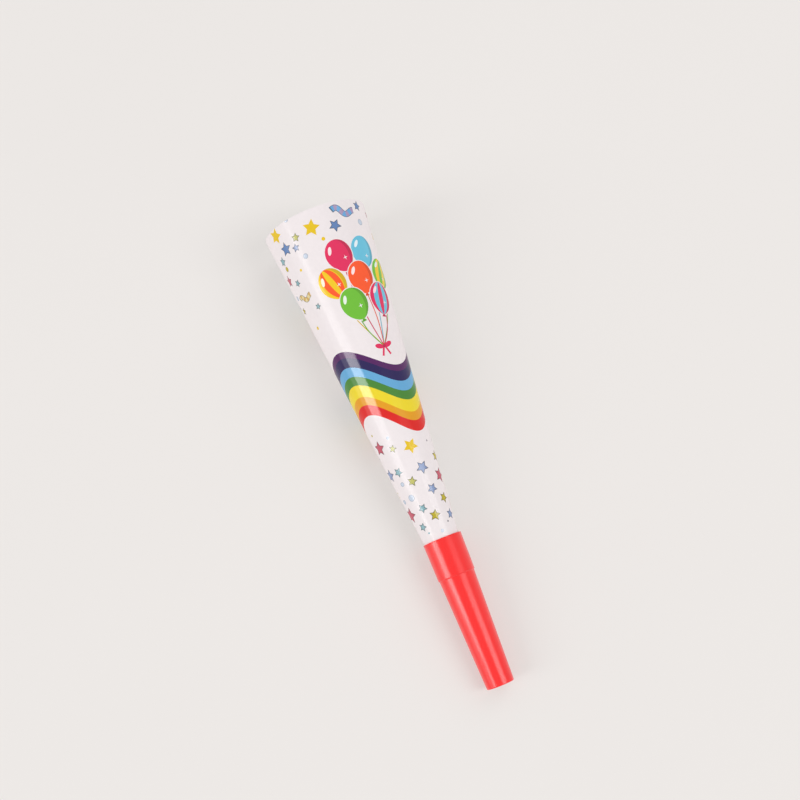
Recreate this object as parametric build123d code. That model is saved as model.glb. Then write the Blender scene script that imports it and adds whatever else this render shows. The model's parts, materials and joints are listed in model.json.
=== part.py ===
from build123d import *
import os
from math import asin, atan2, cos, degrees, hypot, radians, sin

# A party horn that lies on its side. A printed card cone is rolled up and glued along one lap, its narrow
# end sits in the collar of a moulded mouthpiece, and a reed of thin film beats inside the mouthpiece.
# All sizes are in millimetres and all angles in degrees.
# Everything is first modelled along a straight axis: x = 0 is the bell rim, x grows towards the mouth end,
# and angles round the axis are counted from the top towards +Y.

# Card cone
card_shown_length = 118.2
bell_radius = 18.5
card_radius_at_lip = 6.3
card_thickness = 0.35
card_tuck_length = 10.5

# Lap seam of the card cone
lap_start_angle = 126.0
lap_angle = 26.0
glue_thickness = 0.1
glue_edge_angle = 3.0
glue_end_margin = 4.0

# Mouthpiece, outside
collar_length = 13.0
lip_wall = 0.4
collar_draft = 1.1
collar_step = 0.3
collar_step_run = 0.35
tube_length = 38.8
mouth_wall = 1.0
lip_bevel = 0.15
mouth_round = 0.35

# Mouthpiece, inside
socket_clearance = 0.06
blow_bore_radius = 3.8
blow_bore_length = 12.0
blow_bore_bevel = 0.25
chamber_land = 0.5

# Reed seat
flange_thickness = 1.6
flange_clearance = 0.05
flange_ledge = 0.45
barrel_length = 5.2
barrel_clearance = 0.03
trough_length = 20.0
trough_radius = 3.0
trough_flat_height = 0.5
trough_end_wall = 1.2
trough_end_bevel = 0.4
channel_radius = 1.9

# Reed tongue and the ring that holds its root
tongue_width = 5.0
tongue_thickness = 0.12
tongue_root_length = 1.2
tongue_tip_setback = 0.5
tongue_tip_round = 1.2
tongue_rest_angle = 2.0
tongue_slot_clearance = 0.06
ring_length = 1.8
ring_wall = 0.9
ring_clearance = 0.03

# Stations along the axis
lip_x = card_shown_length
card_tip_x = lip_x + card_tuck_length
collar_end_x = lip_x + collar_length
mouth_x = collar_end_x + tube_length
ledge_x = card_tip_x + flange_thickness
barrel_end_x = ledge_x + barrel_length
ring_end_x = barrel_end_x + ring_length
trough_end_x = barrel_end_x + trough_length

# The card's slope, and its thickness measured square to the axis
card_taper = (bell_radius - card_radius_at_lip) / card_shown_length
card_wall = card_thickness * hypot(1, card_taper)

# The lap lies flat on the turn below it if the card grows outwards by its own wall and the glue in one turn.
# Half of that growth separates the two centres that the rolled card is drawn from.
roll_offset = (card_wall + glue_thickness) / 2

# Radii that follow from the pieces that fit together
card_tip_radius = bell_radius - card_taper * card_tip_x
socket_lip_radius = card_radius_at_lip + socket_clearance
socket_end_radius = card_tip_radius + socket_clearance
lip_radius = socket_lip_radius + lip_wall
collar_end_radius = lip_radius - collar_length * sin(radians(collar_draft))
tube_top_radius = collar_end_radius - collar_step
mouth_radius = blow_bore_radius + mouth_wall
flange_radius = socket_end_radius - flange_clearance
chamber_radius = flange_radius - flange_ledge
barrel_radius = chamber_radius - barrel_clearance
ring_bore_radius = trough_radius + ring_clearance
ring_radius = ring_bore_radius + ring_wall

# The tongue turns about the middle of its root, half a root's length behind the ring's front face
hinge_x = ring_end_x - tongue_root_length / 2
hinge_z = trough_flat_height + tongue_slot_clearance + tongue_thickness / 2
ring_flat_height = trough_flat_height + 2 * tongue_slot_clearance + tongue_thickness

horn_axis = Axis((0, 0, 0), (1, 0, 0))
lap_direction = Vector(0, sin(radians(lap_start_angle)), cos(radians(lap_start_angle)))
lap_centre = lap_direction * -roll_offset


def rolled_sector(outline, centre, angle, sweep):
    """Turns an outline of (x, radius) points about the axis through centre, up from angle by sweep."""
    side = Vector(0, sin(radians(angle)), cos(radians(angle)))
    plane = Plane(origin=centre, x_dir=(1, 0, 0), z_dir=Vector(1, 0, 0).cross(side))
    face = make_face(Polyline(*outline, close=True))
    return revolve(plane * face, axis=Axis(centre, (1, 0, 0)), revolution_arc=sweep)


def turned(outline, edges):
    """Turns an outline of (x, radius) points about the horn's axis, with the listed corners broken."""
    face = make_face(Polyline(*outline, close=True))
    for place, break_edge, size in edges:
        corner = face.vertices().sort_by_distance((*place, 0))[0]
        face = break_edge(corner, size)
    return revolve(face, axis=horn_axis)


def card_outline(growth):
    """The card's section, with its outside moved out by growth."""
    rim = bell_radius + growth
    tip = card_tip_radius + growth
    return [(0, rim - card_wall), (0, rim), (card_tip_x, tip), (card_tip_x, tip - card_wall)]


def make_card_cone():
    """Two half turns from two centres and the lap that follows them, as one sheet of even thickness."""
    first_half = rolled_sector(card_outline(-roll_offset), lap_centre, lap_start_angle, 180)
    second_half = rolled_sector(card_outline(0), Vector(0, 0, 0), lap_start_angle - 180, 180)
    lap = rolled_sector(card_outline(roll_offset), lap_centre, lap_start_angle, lap_angle)
    return first_half + second_half + lap


def make_lap_glue():
    """The strip of glue that fills the lap, back from the card's edges."""
    start_x = glue_end_margin
    end_x = card_tip_x - glue_end_margin
    inner_start = bell_radius - card_taper * start_x - roll_offset
    inner_end = bell_radius - card_taper * end_x - roll_offset
    outline = [
        (start_x, inner_start),
        (start_x, inner_start + glue_thickness),
        (end_x, inner_end + glue_thickness),
        (end_x, inner_end),
    ]
    sweep = lap_angle - 2 * glue_edge_angle
    return rolled_sector(outline, lap_centre, lap_start_angle - glue_edge_angle, sweep)


def make_mouthpiece():
    """Collar with a conical socket for the card, a seat for the reed, and a tapering tube with a round bore."""
    lip_outside = (lip_x, lip_radius)
    mouth_outside = (mouth_x, mouth_radius)
    mouth_inside = (mouth_x, blow_bore_radius)
    outline = [
        (lip_x, socket_lip_radius),
        lip_outside,
        (collar_end_x, collar_end_radius),
        (collar_end_x + collar_step_run, tube_top_radius),
        mouth_outside,
        mouth_inside,
        (mouth_x - blow_bore_length, blow_bore_radius),
        (barrel_end_x + chamber_land, chamber_radius),
        (ledge_x, chamber_radius),
        (ledge_x, socket_end_radius),
        (card_tip_x, socket_end_radius),
    ]
    edges = [
        (lip_outside, chamfer, lip_bevel),
        (mouth_outside, fillet, mouth_round),
        (mouth_inside, chamfer, blow_bore_bevel),
    ]
    return turned(outline, edges)


def make_reed_seat():
    """A flanged plug that ends in a round trough, shut at its tip and cut open along a flat for the tongue."""
    tip_edge = (trough_end_x, trough_radius)
    outline = [
        (card_tip_x, channel_radius),
        (card_tip_x, flange_radius),
        (ledge_x, flange_radius),
        (ledge_x, barrel_radius),
        (barrel_end_x, barrel_radius),
        (barrel_end_x, trough_radius),
        tip_edge,
        (trough_end_x, 0),
        (trough_end_x - trough_end_wall, 0),
        (trough_end_x - trough_end_wall, channel_radius),
    ]
    plug = turned(outline, [(tip_edge, chamfer, trough_end_bevel)])
    above_flat = Box(
        trough_length,
        2 * trough_radius,
        trough_radius,
        align=(Align.MIN, Align.CENTER, Align.MIN),
    )
    return plug - Pos(barrel_end_x, 0, trough_flat_height) * above_flat


def make_reed_ring():
    """A ring that is pushed over the trough's root and holds the tongue down, with a flat to match."""
    below_flat = Rectangle(2 * ring_radius, 2 * ring_radius, align=(Align.CENTER, Align.MAX))
    bore = Circle(ring_bore_radius) & (Pos(0, ring_flat_height) * below_flat)
    section = Circle(ring_radius) - bore
    across = Plane(origin=(barrel_end_x, 0, 0), x_dir=(0, 1, 0), z_dir=(1, 0, 0))
    return extrude(across * section, amount=ring_length)


def make_reed_tongue():
    """A strip of film over the open trough, with a round tip, tilted up about its root as it is at rest."""
    root_x = hinge_x - tongue_root_length / 2
    length = trough_end_x - tongue_tip_setback - root_x
    strip = Rectangle(length, tongue_width, align=(Align.MIN, Align.CENTER))
    strip = fillet(strip.vertices().group_by(Axis.X)[-1], tongue_tip_round)
    blade = extrude(strip, amount=tongue_thickness / 2, both=True)
    from_hinge = Pos(root_x - hinge_x, 0, 0) * blade
    return Pos(hinge_x, 0, hinge_z) * Rot(0, -tongue_rest_angle, 0) * from_hinge


nodes = {
    "card_cone": make_card_cone(),
    "lap_glue": make_lap_glue(),
    "mouthpiece": make_mouthpiece(),
    "reed_seat": make_reed_seat(),
    "reed_ring": make_reed_ring(),
    "reed_tongue": make_reed_tongue(),
}

# The horn lies on its bell rim and on the rounded edge of its mouth end
rest_run = mouth_x - mouth_round
rest_drop = bell_radius - (mouth_radius - mouth_round)
rest_angle = degrees(atan2(rest_drop, rest_run) - asin(mouth_round / hypot(rest_run, rest_drop)))
tilt = Rot(0, rest_angle, 0)
rest_box = Compound([tilt * nodes["card_cone"], tilt * nodes["mouthpiece"]]).bounding_box()
rest_middle = rest_box.center()
lying = Pos(-rest_middle.X, -rest_middle.Y, -rest_box.min.Z) * tilt

os.makedirs("parts", exist_ok=True)
for name, solid in nodes.items():
    export_step(lying * solid, f"parts/{name}.step")
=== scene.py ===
import json
from math import atan, atan2, cos, hypot, pi, radians, sin, tan

import bpy
from bpy.props import FloatProperty, FloatVectorProperty, PointerProperty
from mathutils import Matrix, Vector
from mathutils.geometry import delaunay_2d_cdt


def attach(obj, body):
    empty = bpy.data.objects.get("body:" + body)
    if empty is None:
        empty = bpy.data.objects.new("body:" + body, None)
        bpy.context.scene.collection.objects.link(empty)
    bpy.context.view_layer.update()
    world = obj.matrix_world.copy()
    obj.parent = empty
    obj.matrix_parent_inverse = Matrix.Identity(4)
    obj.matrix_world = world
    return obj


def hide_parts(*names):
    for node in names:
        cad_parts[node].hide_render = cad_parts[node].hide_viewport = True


bl_info = {
    "name": "Party horn",
    "version": (1, 0, 0),
    "blender": (4, 5, 0),
    "location": "3D Viewport > Sidebar > Party horn",
    "description": "Dresses a rolled card party horn, its print and its moulded mouthpiece",
    "category": "Add Mesh",
}

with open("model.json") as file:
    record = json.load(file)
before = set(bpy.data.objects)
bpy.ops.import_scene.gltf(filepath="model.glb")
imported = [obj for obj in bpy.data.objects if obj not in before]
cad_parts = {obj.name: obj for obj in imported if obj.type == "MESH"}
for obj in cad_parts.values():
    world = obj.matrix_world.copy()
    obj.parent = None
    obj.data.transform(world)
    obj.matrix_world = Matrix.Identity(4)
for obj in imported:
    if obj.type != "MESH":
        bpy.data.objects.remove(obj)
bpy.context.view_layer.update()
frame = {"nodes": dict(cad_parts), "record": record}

MM = 0.001
# From the camera's target to each soft box, in metres
LAMP_DISTANCE = 2.2

# The horn's own axes: x from the bell rim to the mouth end, y to the side and z out of its top
mounts = {mount["name"]: mount for mount in frame["record"]["mounts"]}
bore_place = Vector(mounts["blow_bore"]["pos_m"])
horn_axis = Vector(mounts["blow_bore"]["axis"]).normalized()
horn_side = Vector((0, 1, 0))
horn_top = horn_axis.cross(horn_side)
rim_centre = bore_place + horn_axis * horn_axis.dot(Vector(mounts["bell_rim"]["pos_m"]) - bore_place)
HORN_TURN = Matrix((horn_axis, horn_side, horn_top)).transposed()
HORN = Matrix.Translation(rim_centre) @ HORN_TURN.to_4x4()


def linear(code):
    """A colour written as an sRGB hex value, in linear light."""
    shares = [int(code[i:i + 2], 16) / 255 for i in (1, 3, 5)]
    return tuple(c / 12.92 if c <= 0.04045 else ((c + 0.055) / 1.055) ** 2.4 for c in shares)


def length(name, description, millimetres):
    """A length as a setting."""
    return FloatProperty(
        name=name, description=description, default=millimetres * MM, min=0, precision=5,
        unit="LENGTH", subtype="DISTANCE",
    )


def angle(name, description, degrees):
    """An angle as a setting."""
    return FloatProperty(
        name=name, description=description, default=radians(degrees), unit="ROTATION", subtype="ANGLE",
    )


def power(name, description, watts):
    """A lamp's power as a setting."""
    return FloatProperty(name=name, description=description, default=watts, unit="POWER")


def colour(name, description, code):
    """A colour as a setting, from its sRGB hex value."""
    return FloatVectorProperty(
        name=name, description=description, default=linear(code), min=0, max=1, size=3, subtype="COLOR",
    )


class CardSettings(bpy.types.PropertyGroup):
    """Sizes of the rolled card"""

    shown_length: length("Shown length", "From the bell rim to the mouthpiece, along the axis", 118.2)
    tuck_length: length("Tuck length", "Card that is pushed into the mouthpiece", 10.5)
    bell_radius: length("Bell radius", "Outside of the card at the rim", 18.5)
    lip_radius: length("Lip radius", "Outside of the card at the mouthpiece", 6.3)
    thickness: length("Thickness", "Thickness of the card", 0.35)
    glue_thickness: length("Glue thickness", "Gap that the glue fills in the lap", 0.1)
    lap_start: angle("Lap start", "The lap's hidden edge, counted from the top", 126)
    lap_angle: angle("Lap angle", "How far the card's ends overlap", 26)
    board: colour("Board", "Uncoated back of the card", "#E6E1DC")
    cut: colour("Cut edge", "Fibres along the card's cut edges", "#EEEAE4")
    glue: colour("Glue", "Dried glue in the lap", "#E4DCC2")


class PrintSettings(bpy.types.PropertyGroup):
    """Sizes and inks of the print on the card"""

    facing_angle: angle("Facing line", "Middle line of the print, counted from the top", -5.4)
    wave_run: length("Wave place", "Middle of the striped wave, from the rim", 65.5)
    wave_swing: length("Wave swing", "How far the wave goes up and down", 5.5)
    keyline: length("Keyline", "Bare line between two inks", 0.3)
    star_line: length("Star line", "Dark line round the stars and the larger dots", 0.22)
    bunch_run: length("Bunch place", "Where the balloons are tied, from the rim", 52)
    bunch_angle: angle("Bunch angle", "Where the balloons are tied, to the right of the middle line", 30)
    balloon_width: length("Balloon width", "Width of one balloon", 9.4)
    balloon_height: length("Balloon height", "Height of one balloon", 11.6)
    paper: colour("Paper", "Coated white of the card", "#ECE4E5")
    violet: colour("Violet", "Stripe nearest the bell", "#4E0859")
    indigo: colour("Indigo", "Second stripe", "#180650")
    light_blue: colour("Light blue", "Third stripe", "#61A6D3")
    green: colour("Green", "Fourth stripe", "#41822A")
    yellow: colour("Yellow", "Fifth stripe", "#EBD41E")
    orange: colour("Orange", "Sixth stripe", "#E39B04")
    red: colour("Red", "Stripe nearest the mouth", "#DB0E06")
    star_yellow: colour("Star yellow", "Yellow stars and dots", "#E4BF10")
    star_blue: colour("Star blue", "Blue stars near the bell", "#6081B5")
    star_mauve: colour("Star mauve", "Paler blue stars", "#8597BF")
    star_olive: colour("Star olive", "Olive stars", "#BBAA21")
    star_lime: colour("Star lime", "Paler olive stars", "#C2BF6C")
    star_crimson: colour("Star crimson", "Crimson stars", "#C25265")
    star_teal: colour("Star teal", "Teal stars", "#86AFB7")
    pale_blue: colour("Pale blue", "Pale dots", "#C0CBDB")
    speck_grey: colour("Speck grey", "Smallest grey dots", "#8F8A8E")
    streamer_blue: colour("Streamer blue", "Blue streamers", "#67A5D8")
    streamer_lilac: colour("Streamer lilac", "Bands on the blue streamers", "#A793B5")
    streamer_straw: colour("Streamer straw", "Straw-coloured streamers", "#E2D3A0")
    streamer_amber: colour("Streamer amber", "Bands on the straw-coloured streamers", "#CDA65C")
    crimson: colour("Balloon crimson", "Crimson balloons", "#E0235A")
    tangerine: colour("Balloon tangerine", "Orange balloons", "#FA5620")
    sunny: colour("Balloon yellow", "Yellow balloons", "#F0C715")
    leaf: colour("Balloon green", "Green balloons", "#6CBB30")
    sky: colour("Balloon blue", "Sky blue balloons", "#66BFDB")


class MouthpieceSettings(bpy.types.PropertyGroup):
    """Sizes and colour of the moulded mouthpiece"""

    collar_length: length("Collar length", "Collar round the card", 13)
    lip_wall: length("Lip wall", "Wall at the collar's lip", 0.4)
    collar_draft: angle("Collar draft", "Taper of the collar", 1.1)
    step_height: length("Step height", "Step from the collar to the tube", 0.3)
    step_run: length("Step run", "Length of the step along the axis", 0.35)
    tube_length: length("Tube length", "From the step to the mouth end", 38.8)
    mouth_wall: length("Mouth wall", "Wall at the mouth end", 1.0)
    socket_clearance: length("Socket clearance", "Gap between the card and the socket", 0.06)
    flange_thickness: length("Flange pocket", "Depth of the pocket for the reed seat's flange", 1.6)
    ledge: length("Ledge", "Ledge under the flange, with its clearance", 0.5)
    chamber_length: length("Chamber length", "Straight part of the bore behind the ledge", 5.7)
    bore_length: length("Bore length", "Straight bore at the mouth end", 12)
    bore_radius: length("Bore radius", "Round bore at the mouth end", mounts["blow_bore"]["dims"]["r_mm"])
    plastic: colour("Plastic", "Red of the mouthpiece", "#FB1E1E")


class ReedSettings(bpy.types.PropertyGroup):
    """Colours of the reed unit"""

    plastic: colour("Plastic", "Natural plastic of the seat and the ring", "#E6E7E2")
    film: colour("Film", "Film of the tongue", "#DCE4E8")


class StageSettings(bpy.types.PropertyGroup):
    """Camera, floor and light"""

    floor: colour("Floor", "Pale floor and background", "#EBE7E4")
    floor_share: FloatProperty(
        name="Floor share", description="Share of the floor's plain colour in what is seen of it",
        default=0.5, min=0, max=1, subtype="FACTOR",
    )
    lens: FloatProperty(name="Lens", description="Focal length of the camera", default=58.1, unit="CAMERA")
    heading: angle("Heading", "Compass direction that the camera looks in, from +X", 158.23)
    elevation: angle("Elevation", "Height of the camera above the horizon", 75.54)
    distance: length("Distance", "From the camera to the point that it looks at", 445.4)
    target: FloatVectorProperty(
        name="Target", description="Point that the camera looks at", size=3, subtype="XYZ", unit="LENGTH",
        default=(-16.07 * MM, 4.76 * MM, 10 * MM),
    )
    key_power: power("Key power", "Soft box on the camera's left", 17.5)
    fill_power: power("Fill power", "Soft box on the camera's right", 15.5)
    top_power: power("Top power", "Soft box beyond the bell", 8)
    side_power: power("Side power", "Low screen on the camera's left", 4)
    ambient: FloatProperty(name="Ambient", description="Light from all round", default=0.515)


def add_node(tree, kind, inputs=None, **settings):
    """Adds a node, sets its settings, and links its inputs or gives them values."""
    node = tree.nodes.new(kind)
    for name, value in settings.items():
        setattr(node, name, value)
    for name, value in (inputs or {}).items():
        if isinstance(value, bpy.types.NodeSocket):
            tree.links.new(value, node.inputs[name])
        else:
            node.inputs[name].default_value = value
    return node


def new_material(name):
    """An empty material, its node tree, and the place on the piece."""
    material = bpy.data.materials.new(name)
    material.use_nodes = True
    tree = material.node_tree
    tree.nodes.clear()
    return material, tree, add_node(tree, "ShaderNodeTexCoord").outputs["Object"]


def grain(size):
    """Scale of a noise whose lumps are about this size, in metres."""
    return 1 / (2 * size)


def offset_print():
    """Coated boxboard, offset printed: clear inks with a faint mottle.

    The ink films dry glossier than the bare coating, so a soft box shows as a clear band across the inks
    and as a faint one on the white."""
    material, tree, place = new_material("offset_printed_boxboard")
    ink = add_node(tree, "ShaderNodeAttribute", attribute_name="ink")
    # Ink mottle of about 0.7 mm, drawn coarser than the real printing screen so that it shows
    mottle = add_node(
        tree, "ShaderNodeTexNoise",
        {"Vector": place, "Scale": grain(0.7 * MM), "Detail": 3, "Roughness": 0.6},
    )
    tone = add_node(
        tree, "ShaderNodeMapRange",
        {"Value": mottle.outputs["Fac"], "From Min": 0.3, "From Max": 0.7, "To Min": 0.98, "To Max": 1.01},
    )
    printed = add_node(
        tree, "ShaderNodeMix", {"Factor": 1.0, 6: ink.outputs["Color"], 7: tone.outputs["Result"]},
        data_type="RGBA", blend_type="MULTIPLY",
    )
    gloss = add_node(
        tree, "ShaderNodeMapRange", {"Value": ink.outputs["Alpha"], "To Min": 0.25, "To Max": 0.85},
    )
    # Fibres of about 0.5 mm under the coating
    fibres = add_node(tree, "ShaderNodeTexNoise", {"Vector": place, "Scale": grain(0.5 * MM), "Detail": 2})
    # Flats of about 3 mm from the rolling, drawn out along the horn
    along = add_node(tree, "ShaderNodeMapping", {"Vector": place, "Scale": (0.08, 1, 1)})
    flats = add_node(
        tree, "ShaderNodeTexNoise", {"Vector": along.outputs["Vector"], "Scale": grain(3 * MM), "Detail": 1},
    )
    rolled = add_node(tree, "ShaderNodeBump", {"Height": flats.outputs["Fac"], "Distance": 0.05 * MM})
    film = add_node(
        tree, "ShaderNodeBump",
        {"Height": fibres.outputs["Fac"], "Distance": 0.003 * MM, "Normal": rolled.outputs["Normal"]},
    )
    surface = add_node(
        tree, "ShaderNodeBsdfPrincipled",
        {
            "Base Color": printed.outputs[2], "Roughness": 0.5, "Specular IOR Level": 0.0,
            "Coat Weight": gloss.outputs["Result"], "Coat Roughness": 0.12, "Coat IOR": 1.55,
            "Normal": film.outputs["Normal"], "Coat Normal": film.outputs["Normal"],
        },
    )
    add_node(tree, "ShaderNodeOutputMaterial", {"Surface": surface.outputs["BSDF"]})
    return material


def uncoated_board(name, tint, fibre):
    """Uncoated boxboard: matt, with short fibres that vary a little in tone and stand up a little."""
    material, tree, place = new_material(name)
    fibres = add_node(
        tree, "ShaderNodeTexNoise", {"Vector": place, "Scale": grain(fibre), "Detail": 5, "Roughness": 0.65},
    )
    tone = add_node(
        tree, "ShaderNodeMix",
        {"Factor": fibres.outputs["Fac"], 6: (*(c * 0.88 for c in tint), 1), 7: (*tint, 1)},
        data_type="RGBA",
    )
    raised = add_node(
        tree, "ShaderNodeBump", {"Height": fibres.outputs["Fac"], "Strength": 0.6, "Distance": 0.03 * MM},
    )
    surface = add_node(
        tree, "ShaderNodeBsdfPrincipled",
        {"Base Color": tone.outputs[2], "Roughness": 0.85, "IOR": 1.45, "Normal": raised.outputs["Normal"]},
    )
    add_node(tree, "ShaderNodeOutputMaterial", {"Surface": surface.outputs["BSDF"]})
    return material


def moulded_plastic(name, tint, roughness, flow, glow):
    """Injection-moulded polypropylene from a polished mould: satin gloss, with flow marks along the part.

    Light goes a little way in, for a waxy depth, and a thin bloom pales it where it is seen at a slant."""
    material, tree, place = new_material(name)
    along = add_node(tree, "ShaderNodeMapping", {"Vector": place, "Scale": (0.15, 1, 1)})
    marks = add_node(
        tree, "ShaderNodeTexNoise",
        {"Vector": along.outputs["Vector"], "Scale": grain(flow), "Detail": 4, "Roughness": 0.55},
    )
    tone = add_node(
        tree, "ShaderNodeMix",
        {"Factor": marks.outputs["Fac"], 6: (*(c * 0.93 for c in tint), 1), 7: (*tint, 1)},
        data_type="RGBA",
    )
    polish = add_node(
        tree, "ShaderNodeMapRange",
        {
            "Value": marks.outputs["Fac"], "From Min": 0.3, "From Max": 0.7,
            "To Min": roughness * 0.85, "To Max": roughness * 1.15,
        },
    )
    skin = add_node(tree, "ShaderNodeBump", {"Height": marks.outputs["Fac"], "Distance": 0.004 * MM})
    surface = add_node(
        tree, "ShaderNodeBsdfPrincipled",
        {
            "Base Color": tone.outputs[2], "Roughness": polish.outputs["Result"], "IOR": 1.49,
            "Subsurface Weight": glow, "Subsurface Radius": (1.0, 0.35, 0.3), "Subsurface Scale": 1.2 * MM,
            "Sheen Weight": 0.3, "Sheen Roughness": 0.5, "Normal": skin.outputs["Normal"],
        },
    )
    add_node(tree, "ShaderNodeOutputMaterial", {"Surface": surface.outputs["BSDF"]})
    return material


def polyester_film(tint):
    """Drawn polyester film: clear, glossy and faintly streaked along its length."""
    material, tree, place = new_material("drawn_polyester_film")
    along = add_node(tree, "ShaderNodeMapping", {"Vector": place, "Scale": (0.05, 1, 1)})
    streaks = add_node(
        tree, "ShaderNodeTexNoise",
        {"Vector": along.outputs["Vector"], "Scale": grain(0.3 * MM), "Detail": 2},
    )
    tone = add_node(
        tree, "ShaderNodeMix",
        {"Factor": streaks.outputs["Fac"], 6: (*(c * 0.9 for c in tint), 1), 7: (*tint, 1)},
        data_type="RGBA",
    )
    surface = add_node(
        tree, "ShaderNodeBsdfPrincipled",
        {"Base Color": tone.outputs[2], "Roughness": 0.12, "IOR": 1.6, "Transmission Weight": 0.5},
    )
    add_node(tree, "ShaderNodeOutputMaterial", {"Surface": surface.outputs["BSDF"]})
    return material


def dried_glue(tint):
    """Dried dispersion glue: yellowish, half clear and smooth, with small bubbles."""
    material, tree, place = new_material("dried_dispersion_glue")
    bubbles = add_node(tree, "ShaderNodeTexVoronoi", {"Vector": place, "Scale": 1 / (0.8 * MM)})
    tone = add_node(
        tree, "ShaderNodeMix",
        {"Factor": bubbles.outputs["Distance"], 6: (*tint, 1), 7: (*(c * 0.85 for c in tint), 1)},
        data_type="RGBA",
    )
    surface = add_node(
        tree, "ShaderNodeBsdfPrincipled", {"Base Color": tone.outputs[2], "Roughness": 0.35, "IOR": 1.47},
    )
    add_node(tree, "ShaderNodeOutputMaterial", {"Surface": surface.outputs["BSDF"]})
    return material


def seen_rays(tree):
    """Marks the rays by which something is seen, directly or in a mirroring or clear surface."""
    path = add_node(tree, "ShaderNodeLightPath")
    mirrored = add_node(
        tree, "ShaderNodeMath",
        {0: path.outputs["Is Glossy Ray"], 1: path.outputs["Is Transmission Ray"]}, operation="MAXIMUM",
    )
    seen = add_node(
        tree, "ShaderNodeMath",
        {0: path.outputs["Is Camera Ray"], 1: mirrored.outputs[0]}, operation="MAXIMUM",
    )
    return seen.outputs[0]


def studio_paper(tint, plain_share):
    """Seamless studio paper: matt and very even, with a slow change of tone over some centimetres.

    A share of its plain colour is seen through the shadows, which keeps them as pale as in a light tent."""
    material, tree, place = new_material("seamless_studio_paper")
    clouds = add_node(tree, "ShaderNodeTexNoise", {"Vector": place, "Scale": grain(60 * MM), "Detail": 2})
    tone = add_node(
        tree, "ShaderNodeMix",
        {"Factor": clouds.outputs["Fac"], 6: (*(c * 0.985 for c in tint), 1), 7: (*tint, 1)},
        data_type="RGBA",
    )
    surface = add_node(
        tree, "ShaderNodeBsdfPrincipled",
        {"Base Color": tone.outputs[2], "Roughness": 0.9, "IOR": 1.45, "Specular IOR Level": 0.2},
    )
    plain = add_node(tree, "ShaderNodeEmission", {"Color": tone.outputs[2], "Strength": 1.0})
    share = add_node(tree, "ShaderNodeMath", {0: seen_rays(tree), 1: plain_share}, operation="MULTIPLY")
    paper = add_node(
        tree, "ShaderNodeMixShader",
        {0: share.outputs[0], 1: surface.outputs["BSDF"], 2: plain.outputs["Emission"]},
    )
    add_node(tree, "ShaderNodeOutputMaterial", {"Surface": paper.outputs["Shader"]})
    return material


# Points of the flat card closer together than this, in metres, become one
MERGE = 1e-7


class CardSheet:
    """The card, flat and rolled up.

    A place on it is its run, in metres from the rim down the slope, and its turn, the angle that the card has
    been rolled through since the lap's hidden edge. Flat, the sheet is a sector round the cone's tip."""

    def __init__(self, card):
        self.slope = atan((card.bell_radius - card.lip_radius) / card.shown_length)
        self.rim_reach = card.bell_radius / sin(self.slope)
        self.end_run = (card.shown_length + card.tuck_length) / cos(self.slope)
        self.end_turn = 2 * pi + card.lap_angle
        self.wall = card.thickness / cos(self.slope)
        self.offset = (self.wall + card.glue_thickness) / 2
        self.lap_start = card.lap_start

    def flat(self, run, turn):
        """A place's point on the flat sheet."""
        reach = self.rim_reach - run
        spread = turn * sin(self.slope)
        return Vector((reach * cos(spread), reach * sin(spread)))

    def place(self, point):
        """The run and the turn of a point on the flat sheet."""
        return self.rim_reach - hypot(*point), atan2(point[1], point[0]) / sin(self.slope)

    def rolled(self, point, inside):
        """Where a point of the flat sheet comes to lie, outside or inside, and the outward normal there.

        The card is rolled from two centres, so that its end lies on the turn below."""
        run, turn = self.place(point)
        lap_way = Vector((0, sin(self.lap_start), cos(self.lap_start)))
        way = Vector((0, sin(self.lap_start - turn), cos(self.lap_start - turn)))
        half_turns = min(int(turn / pi), 2)
        centre = lap_way * (-self.offset if half_turns != 1 else 0)
        reach = self.rim_reach - run
        radius = reach * sin(self.slope) + self.offset * (half_turns - 1) - (self.wall if inside else 0)
        centre.x = run * cos(self.slope)
        normal = way * cos(self.slope)
        normal.x = sin(self.slope)
        return centre + way * radius, normal

    def outline(self, step):
        """The sheet's edge, as points that are one step of turn apart."""
        turns = round(self.end_turn / step)
        shrink = sin(self.slope) * step
        runs = round((self.end_run / self.rim_reach) / shrink)
        across = [self.end_turn * i / turns for i in range(turns)]
        down = [self.end_run * i / runs for i in range(runs)]
        return (
            [self.flat(0, turn) for turn in across]
            + [self.flat(run, self.end_turn) for run in down]
            + [self.flat(self.end_run, self.end_turn - turn) for turn in across]
            + [self.flat(self.end_run - run, 0) for run in down]
        )

    def grid(self, step):
        """Points inside the sheet in staggered rows, whose spacing follows the card's radius."""
        points = []
        shrink = 1 - sin(self.slope) * step
        reach = self.rim_reach * shrink
        last = self.rim_reach - self.end_run
        row = 0
        while reach * shrink > last:
            turn = step * (0.75 if row % 2 else 1.25)
            while turn < self.end_turn - step / 2:
                points.append(self.flat(self.rim_reach - reach, turn))
                turn += step
            reach *= shrink
            row += 1
        return points


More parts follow.
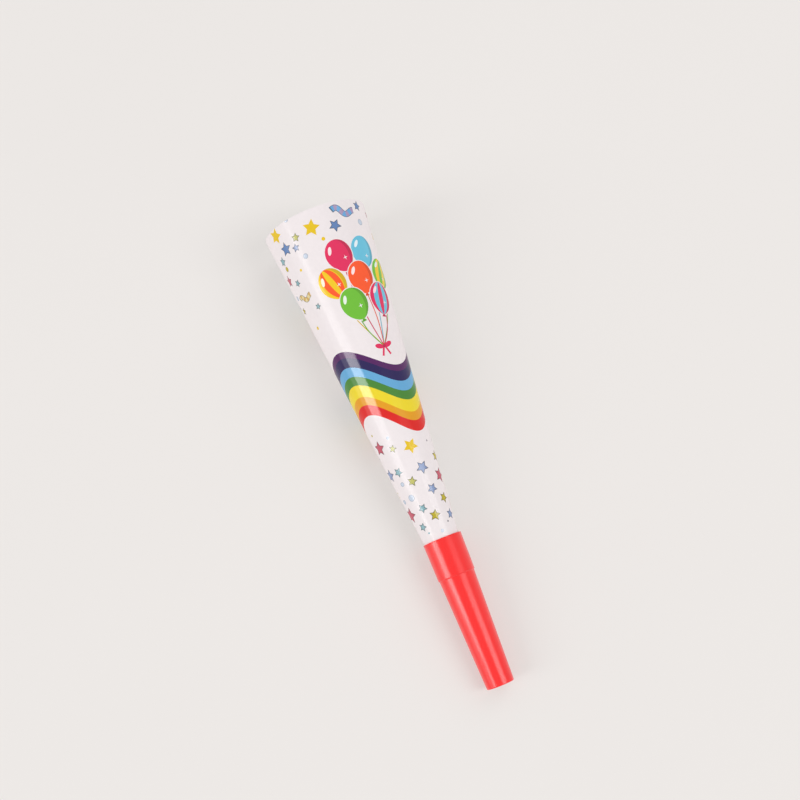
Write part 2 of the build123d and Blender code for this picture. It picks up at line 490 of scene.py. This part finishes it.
class Print:
    """Shapes printed on the flat sheet, later ones over earlier ones."""

    def __init__(self, sheet, settings, lap_start):
        self.sheet = sheet
        self.facing_turn = lap_start - settings.facing_angle
        self.outlines = []
        self.inks = []

    def spot(self, run, right):
        """Turns drawing points (right, up) in metres about a place into points of the flat sheet.

        Up is towards the rim."""
        turn = self.facing_turn - right
        origin = self.sheet.flat(run, turn)
        up = origin.normalized()
        return lambda points: [origin + Vector((up.y, -up.x)) * a + up * b for a, b in points]

    def add(self, points, ink):
        """Prints a closed outline of one ink, with its points in anticlockwise order."""
        area = sum(p.x * q.y - q.x * p.y for p, q in zip(points, points[1:] + points[:1]))
        self.outlines.append(points if area > 0 else points[::-1])
        self.inks.append(ink)

    def cut(self, points, extra):
        """Triangles of the flat sheet that the outlines cut out, each with the index of its topmost outline.

        The sheet's own edge counts as outline 0. What the others have beyond it is trimmed off."""
        corners = []
        rings = []
        for ring in [points] + self.outlines:
            rings.append(list(range(len(corners), len(corners) + len(ring))))
            corners += ring
        verts, _, faces, _, _, covers = delaunay_2d_cdt(corners + extra, [], rings, 0, MERGE, True)
        inside = [(face, max(cover)) for face, cover in zip(faces, covers) if 0 in cover]
        used = sorted({i for face, _ in inside for i in face})
        place = {old: new for new, old in enumerate(used)}
        kept = [([place[i] for i in face], top) for face, top in inside]
        return [verts[i] for i in used], kept


# How far a star's sides are from its middle, as a share of its radius
STAR_SIDE = 0.44
# Shares of a star's own ink and of its grey in the line round it
LINE_TINT = 0.25
LINE_GREY = 0.12
# Dots up to this radius in mm have no line round them
SMALL_DOT = 0.7
# A streamer's width and swing as shares of its length, and its half waves
STREAMER_WIDTH = 0.2
STREAMER_SWING = 0.11
STREAMER_WAVES = 2.5
# A balloon's crown and neck from its middle as shares of its height, and its narrowing to the neck
BALLOON_CROWN = 0.46
BALLOON_NECK = 0.54
BALLOON_NARROWING = 0.2
# A balloon's stripes and shaded side, as shares of its half width
BALLOON_STRIPES = ((-0.66, -0.22), (0.22, 0.66))
BALLOON_SHADE = (0.72, 1)
# Degrees that a balloon leans for each millimetre to the side of the tie
BALLOON_LEAN = 2.2
# A balloon's knot below the neck, and its tip in the neck
KNOT_SIZE = 0.9 * MM
KNOT_TIP = 0.6 * MM
# A string's top, as shares of its balloon's way to the side and of its height
STRING_SIDE = 0.93
STRING_TOP = 0.56
STRING_WIDTH = 0.35 * MM
STRING_SWAY = 0.8 * MM
# Step of the wave's edges, as an angle round the horn
WAVE_STEP = radians(3)
# Half turns from the middle line at which the print repeats
REPEATS = (1, 0, -1, -2)


def star(radius, turn, tips=5, waist=0.5):
    """A star with its first tip turned right from straight up."""
    places = []
    for i in range(2 * tips):
        reach = radius * (waist if i % 2 else 1)
        way = turn + pi * i / tips
        places.append((reach * sin(way), reach * cos(way)))
    return places


def leaned(points, lean, place=(0, 0)):
    """Drawing points turned to the right by lean, and then moved to a place."""
    x, y = place
    return [(x + a * cos(lean) + b * sin(lean), y - a * sin(lean) + b * cos(lean)) for a, b in points]


def oval(width, height, place=(0, 0), lean=0, count=18):
    """An oval about a place, leaning to the right."""
    ways = [2 * pi * i / count for i in range(count)]
    return leaned([(width / 2 * cos(way), height / 2 * sin(way)) for way in ways], lean, place)


def balloon_gore(width, height, left, right, count=16):
    """Part of a balloon between two lines from its crown to its neck, at shares of its half width."""
    side = []
    for i in range(count + 1):
        way = pi * i / count
        rise = cos(way)
        out = sin(way) * (1 - BALLOON_NARROWING * max(0, -rise) ** 2) * width / 2
        side.append((out, rise * height * (BALLOON_CROWN if rise > 0 else BALLOON_NECK)))
    return [(left * a, b) for a, b in side] + [(right * a, b) for a, b in side[-2:0:-1]]


def ribbon(points, width):
    """A thin band along a line of points."""
    left = []
    right = []
    for i, (a, b) in enumerate(points):
        before = points[max(i - 1, 0)]
        after = points[min(i + 1, len(points) - 1)]
        run = (after[0] - before[0], after[1] - before[1])
        size = hypot(*run)
        side = (-run[1] / size * width / 2, run[0] / size * width / 2)
        left.append((a + side[0], b + side[1]))
        right.append((a - side[0], b - side[1]))
    return left + right[::-1]


def tint_of(settings, ink):
    """An ink's colour, by its name."""
    return tuple(getattr(settings, ink))


def paler(tint, share):
    """An ink with a share of white in it."""
    return tuple(c + (1 - c) * share for c in tint)


def darker(tint, share):
    """An ink with a share of black in it."""
    return tuple(c * (1 - share) for c in tint)


def edging(tint):
    """The darker and greyer ink of the line round a star."""
    grey = sum(tint) / 3
    return tuple(LINE_TINT * c + LINE_GREY * grey for c in tint)


# Stars: ink, run from the rim in mm, degrees to the right of the middle line, radius in mm, turn in degrees
STARS = (
    ("star_yellow", 2.4, -51, 2.9, 30),
    ("star_blue", 8.3, -45, 2.6, 10),
    ("star_lime", 6.8, -26, 1.7, 20),
    ("star_mauve", 9.9, -31, 1.6, 5),
    ("star_yellow", 6.2, -5, 3.1, 22),
    ("star_blue", 8.1, 21, 2.4, 40),
    ("star_blue", 2.4, 60, 2.0, 15),
    ("star_teal", 10.9, -61, 1.9, 25),
    ("star_teal", 20.3, -53, 1.5, 40),
    ("star_crimson", 17.5, -70, 2.3, 15),
    ("star_olive", 29.0, -72, 1.5, 25),
    ("star_blue", 27.0, -88, 1.9, 10),
    ("star_yellow", 12.5, 88, 2.2, 20),
    ("star_teal", 31.0, -38, 1.3, 30),
    ("star_crimson", 4.5, 84, 1.6, 5),
    ("star_yellow", 86.6, 13, 2.75, 40),
    ("star_crimson", 83.2, -56, 2.8, 15),
    ("star_lime", 85.3, -24, 1.5, 30),
    ("star_olive", 92.1, 73, 2.1, 10),
    ("star_mauve", 94.6, 21, 2.4, 42),
    ("star_crimson", 98.7, 66, 2.8, 20),
    ("star_mauve", 92.9, -67, 2.5, 20),
    ("star_teal", 93.2, -36, 1.85, 42),
    ("star_lime", 97.8, -13, 1.85, 25),
    ("star_mauve", 102.4, 27, 2.05, 40),
    ("star_olive", 106.4, 54, 2.0, 30),
    ("star_crimson", 107.9, -67, 3.0, 25),
    ("star_teal", 107.4, -16, 1.75, 45),
    ("star_olive", 111.0, 9, 2.1, 20),
    ("star_mauve", 112.2, 61, 2.0, 15),
    ("star_teal", 113.2, -40, 1.65, 30),
    ("star_teal", 86.0, 92, 1.5, 25),
    ("star_yellow", 100.5, -88, 1.3, 35),
)

# Dots: ink, run from the rim in mm, degrees to the right of the middle line, radius in mm
DOTS = (
    ("pale_blue", -0.2, -28, 0.9),
    ("star_yellow", 11.2, 3, 0.65),
    ("pale_blue", 14.0, -24, 0.95),
    ("pale_blue", 8.3, 57, 1.15),
    ("star_olive", 13.9, -60, 0.9),
    ("star_yellow", 17.3, -38, 0.5),
    ("pale_blue", 24.0, -72, 0.9),
    ("star_yellow", 37.0, -58, 0.6),
    ("star_olive", 78.2, -59, 0.4),
    ("pale_blue", 81.3, -24, 0.6),
    ("speck_grey", 86.5, 56, 0.35),
    ("pale_blue", 97.4, -40, 0.8),
    ("star_olive", 99.2, -79, 0.4),
    ("pale_blue", 102.8, -33, 1.2),
    ("pale_blue", 103.0, -63, 0.8),
    ("speck_grey", 114.3, 41, 0.35),
    ("pale_blue", 116.7, 13, 0.6),
    ("star_teal", 115.8, -29, 0.35),
)

# Streamers: ink, ink of the bands, run from the rim in mm, degrees to the right of the middle line,
# length in mm, lean in degrees
STREAMERS = (
    ("streamer_blue", "streamer_lilac", 3.9, 36, 9.0, 14),
    ("streamer_straw", "streamer_amber", 26.0, -53, 6.6, 10),
)

# Stripes of the wave from the bell side, with their widths in mm
STRIPES = (
    ("violet", 2.3),
    ("indigo", 3.5),
    ("light_blue", 3.4),
    ("green", 3.2),
    ("yellow", 4.3),
    ("orange", 3.0),
    ("red", 3.8),
)

# Balloons from the back of the bunch to its front: ink, ink of the stripes, and millimetres to the right of
# the tie and up from it
BALLOONS = (
    ("sky", "sky", 4.6, 33.5),
    ("crimson", "crimson", -4.8, 34.0),
    ("leaf", "sunny", 10.6, 25.0),
    ("sunny", "tangerine", -10.2, 25.4),
    ("tangerine", "tangerine", 0.4, 25.0),
    ("crimson", "sky", 5.8, 16.6),
    ("leaf", "leaf", -5.2, 16.8),
)


def draw_wave(design, settings):
    """The striped wave, two swings to a turn of the card."""
    sheet = design.sheet
    count = round(sheet.end_turn / WAVE_STEP) + 2
    turns = [(i - 1) * WAVE_STEP for i in range(count + 1)]
    total = sum(width for _, width in STRIPES) * MM
    start = settings.wave_run - total / 2
    for ink, width in STRIPES:
        edges = []
        for run in (start, start + width * MM):
            edges.append([
                sheet.flat(run + settings.wave_swing * sin(2 * (design.facing_turn - turn)), turn)
                for turn in turns
            ])
        design.add(edges[0] + edges[1][::-1], tint_of(settings, ink))
        start += width * MM


def draw_streamer(design, settings, place, inks, size, lean):
    """A curled streamer with bands across it and a dark line round it."""
    count = 24
    width = STREAMER_WIDTH * size
    curl = []
    for i in range(count + 1):
        curl.append(((i / count - 0.5) * size, STREAMER_SWING * size * sin(STREAMER_WAVES * pi * i / count)))
    curl = leaned(curl, lean)
    tint, band = inks
    design.add(place(ribbon(curl, width + 2 * settings.star_line)), edging(tint))
    design.add(place(ribbon(curl[1:-1], width)), tint)
    # The bands are three steps wide, one in every six
    for start in range(3, count, 6):
        design.add(place(ribbon(curl[start:start + 4], width)), band)


def draw_bunch(design, settings, right):
    """A bunch of balloons whose strings meet at a bow."""
    place = design.spot(settings.bunch_run, right)
    paper = tuple(settings.paper)
    width = settings.balloon_width
    height = settings.balloon_height
    rim = 2 * settings.keyline
    for ink, _, across, up in BALLOONS:
        top = (across * STRING_SIDE * MM, up * MM - STRING_TOP * height)
        line = []
        for i in range(13):
            share = i / 12
            sway = STRING_SWAY * sin(pi * share) * (1 if across > 0 else -1)
            line.append((top[0] * (1 - share) + sway, top[1] * (1 - share)))
        design.add(place(ribbon(line, STRING_WIDTH)), darker(tint_of(settings, ink), 0.25))
    for ink, second, across, up in BALLOONS:
        tint = tint_of(settings, ink)
        foot = -BALLOON_NECK * height - KNOT_SIZE
        tip = -BALLOON_NECK * height + KNOT_TIP
        shapes = [
            (balloon_gore(width + rim, height + rim, -1, 1), paper),
            ([(-KNOT_SIZE, foot), (KNOT_SIZE, foot), (0, tip)], darker(tint, 0.3)),
            (balloon_gore(width, height, -1, 1), tint),
            (balloon_gore(width, height, *BALLOON_SHADE), darker(tint, 0.28)),
        ]
        if second != ink:
            for stripe in BALLOON_STRIPES:
                shapes.append((balloon_gore(width, height, *stripe), tint_of(settings, second)))
        # A long shine on the upper left and a glint on the lower right
        shine = oval(0.13 * width, 0.26 * height, (-0.25 * width, 0.2 * height), radians(28))
        glint = star(0.9 * MM, 0, tips=4, waist=0.25)
        shapes.append((shine, paler(tint, 0.75)))
        shapes.append(([(a + 0.16 * width, b - 0.16 * height) for a, b in glint], paper))
        for points, tone in shapes:
            leaning = leaned(points, radians(across * BALLOON_LEAN), (across * MM, up * MM))
            design.add(place(leaning), tone)
    bow = tuple(settings.crimson)
    for side in (-1, 1):
        loop = oval(3.2 * MM, 1.7 * MM, (side * 1.7 * MM, 0.3 * MM), side * radians(-20))
        design.add(place(loop), bow)
        tail = [(side * (0.2 + 1.3 * i / 6) * MM, -3.2 * MM * i / 6) for i in range(7)]
        design.add(place(ribbon(tail, 0.7 * MM)), bow)
    design.add(place(oval(1.3 * MM, 1.3 * MM)), darker(bow, 0.3))


def draw_print(sheet, card, settings):
    """The whole print: the wave, bunches of balloons, and stars, dots and streamers, twice round."""
    design = Print(sheet, settings, card.lap_start)
    draw_wave(design, settings)
    for half_turns in REPEATS:
        offset = half_turns * pi
        for ink, run, right, radius in DOTS:
            place = design.spot(run * MM, radians(right) + offset)
            tint = tint_of(settings, ink)
            width = 2 * radius * MM
            if ink != "star_yellow" and radius > SMALL_DOT:
                design.add(place(oval(width, width)), darker(tint, 0.3))
                width -= 2 * settings.star_line
            design.add(place(oval(width, width)), tint)
        for ink, run, right, radius, turn in STARS:
            place = design.spot(run * MM, radians(right) + offset)
            tint = tint_of(settings, ink)
            reach = radius * MM
            if ink != "star_yellow":
                design.add(place(star(reach, radians(turn))), edging(tint))
                reach -= settings.star_line / STAR_SIDE
            design.add(place(star(reach, radians(turn))), tint)
        for ink, band, run, right, size, lean in STREAMERS:
            place = design.spot(run * MM, radians(right) + offset)
            inks = (tint_of(settings, ink), tint_of(settings, band))
            draw_streamer(design, settings, place, inks, size * MM, radians(lean))
        draw_bunch(design, settings, settings.bunch_angle + offset)
    return design


# Map of the card for baked textures. The print has most of its height, and the back and the cut edge
# have a strip each, with a gap between them.
CARD_MAP = "OFBake"
MAP_MARGIN = 0.002
PRINT_STRIP = (MAP_MARGIN, 0.9)
BACK_STRIP = (0.91, 0.97)
EDGE_STRIP = (0.98, 0.995)
# Corners of a face of the cut edge: steps ahead along the edge, and 1 at the back of the card
EDGE_CORNERS = ((1, 0), (0, 0), (0, 1), (1, 1))
# Spacing of the card's mesh, as an angle round the horn: along the edge, and inside its two sides
EDGE_STEP = radians(2.5)
PRINT_STEP = radians(5)
BACK_STEP = radians(7.5)


def on_map(across, up, strip):
    """A point of the card's map, from shares of its width and of a strip's height."""
    return MAP_MARGIN + (1 - 2 * MAP_MARGIN) * across, strip[0] + (strip[1] - strip[0]) * up


def edge_in_order(faces):
    """The points along the edge of a sheet of faces, in order."""
    sides = {side for face in faces for side in zip(face, face[1:] + face[:1])}
    follows = {a: b for a, b in sides if (b, a) not in sides}
    edge = [min(follows)]
    while follows[edge[-1]] != edge[0]:
        edge.append(follows[edge[-1]])
    return edge


def new_object(name, data):
    """A new object in the scene."""
    made = bpy.data.objects.new(name, data)
    bpy.context.scene.collection.objects.link(made)
    return made


def new_piece(name, body, verts, faces, materials):
    """A new smooth mesh piece, drawn in the horn's own axes, which rides on a body."""
    mesh = bpy.data.meshes.new(name)
    mesh.from_pydata(verts, [], faces, shade_flat=False)
    mesh.transform(HORN)
    for material in materials:
        mesh.materials.append(material)
    piece = new_object(name, mesh)
    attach(piece, body)
    return piece


def dress(node, material):
    """Gives a CAD node its material."""
    for slot in frame["nodes"][node].material_slots:
        slot.material = material


class PARTYHORN_OT_card_cone(bpy.types.Operator):
    """Roll the printed card up to a cone and glue its lap"""

    bl_idname = "party_horn.card_cone"
    bl_label = "Card cone"

    def execute(self, context):
        card = context.scene.party_horn_card
        settings = context.scene.party_horn_print
        sheet = CardSheet(card)
        design = draw_print(sheet, card, settings)
        flat, kept = design.cut(sheet.outline(EDGE_STEP), sheet.grid(PRINT_STEP))
        # Each ink's fourth number tells the inks, which are glossy, from the bare paper
        paper = tuple(settings.paper)
        inks = [(*tint, 0 if tint == paper else 1) for tint in [paper] + design.inks]

        # The back shares the printed side's edge
        edge = edge_in_order([face for face, _ in kept])
        edge_points = [flat[i] for i in edge]
        back, _, back_faces, sources, _, covers = delaunay_2d_cdt(
            edge_points + sheet.grid(BACK_STEP), [], [list(range(len(edge)))], 0, MERGE, True
        )
        back_faces = [face for face, cover in zip(back_faces, covers) if cover]
        met = {source: i for i, group in enumerate(sources) for source in group}
        first = len(flat)
        rolled = [sheet.rolled(p, False) for p in flat] + [sheet.rolled(p, True) for p in back]
        verts = [p for p, _ in rolled]
        faces = [list(face) for face, _ in kept]
        faces += [[first + i for i in reversed(face)] for face in back_faces]
        for i, a in enumerate(edge):
            j = (i + 1) % len(edge)
            faces.append([edge[j], a, first + met[i], first + met[j]])

        cone = new_piece(
            "printed_card_cone", "horn", verts, faces,
            [
                offset_print(),
                uncoated_board("uncoated_boxboard_back", tuple(card.board), fibre=0.4 * MM),
                uncoated_board("cut_boxboard_edge", tuple(card.cut), fibre=0.1 * MM),
            ],
        )
        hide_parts("card_cone")
        mesh = cone.data
        mesh.color_attributes.new("ink", "FLOAT_COLOR", "CORNER")
        mesh.uv_layers.new(name=CARD_MAP)
        ink_layer = mesh.color_attributes["ink"]
        card_map = mesh.uv_layers[CARD_MAP]
        # Each point's shares of the card's turn and run
        shares = [(turn / sheet.end_turn, run / sheet.end_run) for run, turn in map(sheet.place, flat + back)]
        normals = []
        for polygon in mesh.polygons:
            number = polygon.index
            if number < len(kept):
                for loop, vertex in zip(polygon.loop_indices, polygon.vertices):
                    across, down = shares[vertex]
                    ink_layer.data[loop].color = inks[kept[number][1]]
                    card_map.uv[loop].vector = on_map(across, down, PRINT_STRIP)
                    normals.append(HORN_TURN @ rolled[vertex][1])
            elif number < len(kept) + len(back_faces):
                polygon.material_index = 1
                for loop, vertex in zip(polygon.loop_indices, polygon.vertices):
                    across, down = shares[vertex]
                    card_map.uv[loop].vector = on_map(1 - across, down, BACK_STRIP)
                    normals.append(HORN_TURN @ -rolled[vertex][1])
            else:
                polygon.material_index = 2
                number -= len(kept) + len(back_faces)
                for loop, (ahead, behind) in zip(polygon.loop_indices, EDGE_CORNERS):
                    card_map.uv[loop].vector = on_map(1 - (number + ahead) / len(edge), behind, EDGE_STRIP)
                normals += [polygon.normal.copy()] * len(polygon.vertices)
        mesh.normals_split_custom_set(normals)
        dress("lap_glue", dried_glue(tuple(card.glue)))
        return {"FINISHED"}


def rounded_outline(corners, count=6):
    """Points, with outward normals, of a closed outline with rounded corners (along, radius, round)."""
    places = []
    for i, (x, r, size) in enumerate(corners):
        here = Vector((x, r))
        before = (Vector(corners[i - 1][:2]) - here).normalized()
        after = (Vector(corners[(i + 1) % len(corners)][:2]) - here).normalized()
        hollow = before.cross(after) < 0
        half = before.angle(after) / 2
        centre = here + (before + after).normalized() * (size / sin(half))
        start = here + before * (size / tan(half)) - centre
        end = here + after * (size / tan(half)) - centre
        for j in range(count + 1):
            way = start.lerp(end, j / count).normalized()
            places.append((centre + way * size, -way if hollow else way))
    return places


class PARTYHORN_OT_mouthpiece(bpy.types.Operator):
    """Mould the red mouthpiece with its collar, step, tube and bore"""

    bl_idname = "party_horn.mouthpiece"
    bl_label = "Mouthpiece"

    def execute(self, context):
        card = context.scene.party_horn_card
        size = context.scene.party_horn_mouthpiece
        taper = (card.bell_radius - card.lip_radius) / card.shown_length
        lip = card.shown_length
        tuck_end = lip + card.tuck_length
        collar_end = lip + size.collar_length
        mouth = collar_end + size.tube_length
        pocket_end = tuck_end + size.flange_thickness
        socket_lip = card.lip_radius + size.socket_clearance
        socket_end = card.bell_radius - taper * tuck_end + size.socket_clearance
        lip_radius = socket_lip + size.lip_wall
        collar_radius = lip_radius - size.collar_length * sin(size.collar_draft)
        chamber = socket_end - size.ledge
        # Each corner's place along the axis, its radius and the round on it
        corners = [
            (lip, socket_lip, 0.1 * MM),
            (lip, lip_radius, 0.15 * MM),
            (collar_end, collar_radius, 0.08 * MM),
            (collar_end + size.step_run, collar_radius - size.step_height, 0.12 * MM),
            (mouth, size.bore_radius + size.mouth_wall, 0.35 * MM),
            (mouth, size.bore_radius, 0.25 * MM),
            (mouth - size.bore_length, size.bore_radius, 1.0 * MM),
            (pocket_end + size.chamber_length, chamber, 0.5 * MM),
            (pocket_end, chamber, 0.05 * MM),
            (pocket_end, socket_end, 0.05 * MM),
            (tuck_end, socket_end, 0.2 * MM),
        ]
        outline = rounded_outline(corners)
        count = 192
        verts = []
        normals = []
        for place, normal in outline:
            for i in range(count):
                way = 2 * pi * i / count
                verts.append((place.x, place.y * sin(way), place.y * cos(way)))
                normals.append(HORN_TURN @ Vector((normal.x, normal.y * sin(way), normal.y * cos(way))))
        faces = []
        for ring in range(len(outline)):
            after = (ring + 1) % len(outline)
            for i in range(count):
                j = (i + 1) % count
                faces.append((ring * count + i, after * count + i, after * count + j, ring * count + j))
        red = moulded_plastic(
            "red_moulded_polypropylene", tuple(size.plastic), roughness=0.22, flow=1.5 * MM, glow=0.12,
        )
        piece = new_piece("red_mouthpiece", "horn", verts, faces, [red])
        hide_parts("mouthpiece")
        piece.data.normals_split_custom_set_from_vertices(normals)
        return {"FINISHED"}


class PARTYHORN_OT_reed(bpy.types.Operator):
    """Dress the reed's seat, ring and tongue"""

    bl_idname = "party_horn.reed"
    bl_label = "Reed"

    def execute(self, context):
        reed = context.scene.party_horn_reed
        natural = moulded_plastic(
            "natural_moulded_polypropylene", tuple(reed.plastic), roughness=0.35, flow=1 * MM, glow=0.3,
        )
        dress("reed_seat", natural)
        dress("reed_ring", natural)
        dress("reed_tongue", polyester_film(tuple(reed.film)))
        return {"FINISHED"}


class PARTYHORN_OT_stage(bpy.types.Operator):
    """Lay the floor, hang the soft boxes and set the camera"""

    bl_idname = "party_horn.stage"
    bl_label = "Stage"

    def execute(self, context):
        scene = context.scene
        stage = scene.party_horn_stage
        scene.view_settings.view_transform = "Standard"

        floor_mesh = bpy.data.meshes.new("studio_floor")
        reach = 1.1
        count = 96
        ring = [(reach * cos(2 * pi * i / count), reach * sin(2 * pi * i / count), 0) for i in range(count)]
        floor_mesh.from_pydata(ring, [], [list(range(count))])
        floor_mesh.materials.append(studio_paper(tuple(stage.floor), stage.floor_share))
        floor = new_object("studio_floor", floor_mesh)

        world = bpy.data.worlds.new("studio")
        scene.world = world
        world.use_nodes = True
        tree = world.node_tree
        tree.nodes.clear()
        shade = add_node(
            tree, "ShaderNodeMix",
            {"Factor": seen_rays(tree), 6: (*[stage.ambient] * 3, 1), 7: (*stage.floor, 1)},
            data_type="RGBA",
        )
        sky = add_node(tree, "ShaderNodeBackground", {"Color": shade.outputs[2], "Strength": 1.0})
        add_node(tree, "ShaderNodeOutputWorld", {"Surface": sky.outputs["Background"]})

        ahead = Vector((
            cos(stage.heading) * cos(stage.elevation),
            sin(stage.heading) * cos(stage.elevation),
            -sin(stage.elevation),
        ))
        right = Vector((sin(stage.heading), -cos(stage.heading), 0))
        target = Vector(stage.target)
        camera_data = bpy.data.cameras.new("camera")
        camera_data.lens = stage.lens
        camera_data.sensor_width = 36
        camera = new_object("camera", camera_data)
        camera.location = target - ahead * stage.distance
        camera.rotation_euler = ahead.to_track_quat("-Z", "Y").to_euler()
        scene.camera = camera

        # Seen from the target, a soft box is at these angles to the right of the camera and above it
        up = right.cross(ahead)
        for name, across, above, roll, watts, width, height in (
            ("key_soft_box", radians(-50.5), radians(-13.5), 0, stage.key_power, 1.2, 0.65),
            ("fill_soft_box", radians(37), radians(4.9), radians(13), stage.fill_power, 1.3, 0.75),
            ("top_soft_box", radians(40), radians(48), 0, stage.top_power, 1.6, 1.2),
            ("side_soft_box", radians(-78), radians(-18), 0, stage.side_power, 0.9, 1.2),
        ):
            lamp_data = bpy.data.lights.new(name, "AREA")
            lamp_data.shape = "RECTANGLE"
            lamp_data.size = width
            lamp_data.size_y = height
            lamp_data.energy = watts
            lamp = new_object(name, lamp_data)
            way = (right * sin(across) - ahead * cos(across)) * cos(above) + up * sin(above)
            level = up.cross(way).normalized()
            lamp.matrix_world = (
                Matrix.Translation(target + way * LAMP_DISTANCE)
                @ Matrix((level, way.cross(level), way)).transposed().to_4x4()
                @ Matrix.Rotation(roll, 4, "Z")
            )
        return {"FINISHED"}


class PARTYHORN_PT_panel(bpy.types.Panel):
    """Steps that dress the party horn, and their settings"""

    bl_idname = "PARTYHORN_PT_panel"
    bl_label = "Party horn"
    bl_space_type = "VIEW_3D"
    bl_region_type = "UI"
    bl_category = "Party horn"

    def draw(self, context):
        for operator in OPERATORS:
            self.layout.operator(operator.bl_idname)
        for name in SETTINGS:
            box = self.layout.box()
            group = getattr(context.scene, name)
            for field in group.__annotations__:
                box.prop(group, field)


SETTINGS = {
    "party_horn_card": CardSettings,
    "party_horn_print": PrintSettings,
    "party_horn_mouthpiece": MouthpieceSettings,
    "party_horn_reed": ReedSettings,
    "party_horn_stage": StageSettings,
}

OPERATORS = (
    PARTYHORN_OT_card_cone,
    PARTYHORN_OT_mouthpiece,
    PARTYHORN_OT_reed,
    PARTYHORN_OT_stage,
)


def register():
    """Registers the settings, the operators and the panel."""
    for group in SETTINGS.values():
        bpy.utils.register_class(group)
    for name, group in SETTINGS.items():
        setattr(bpy.types.Scene, name, PointerProperty(type=group))
    for operator in OPERATORS:
        bpy.utils.register_class(operator)
    bpy.utils.register_class(PARTYHORN_PT_panel)


def unregister():
    """Takes back what register has done."""
    bpy.utils.unregister_class(PARTYHORN_PT_panel)
    for operator in reversed(OPERATORS):
        bpy.utils.unregister_class(operator)
    for name, group in SETTINGS.items():
        delattr(bpy.types.Scene, name)
        bpy.utils.unregister_class(group)


def main():
    register()
    bpy.ops.party_horn.card_cone()
    bpy.ops.party_horn.mouthpiece()
    bpy.ops.party_horn.reed()
    bpy.ops.party_horn.stage()


if __name__ == "__main__":
    main()
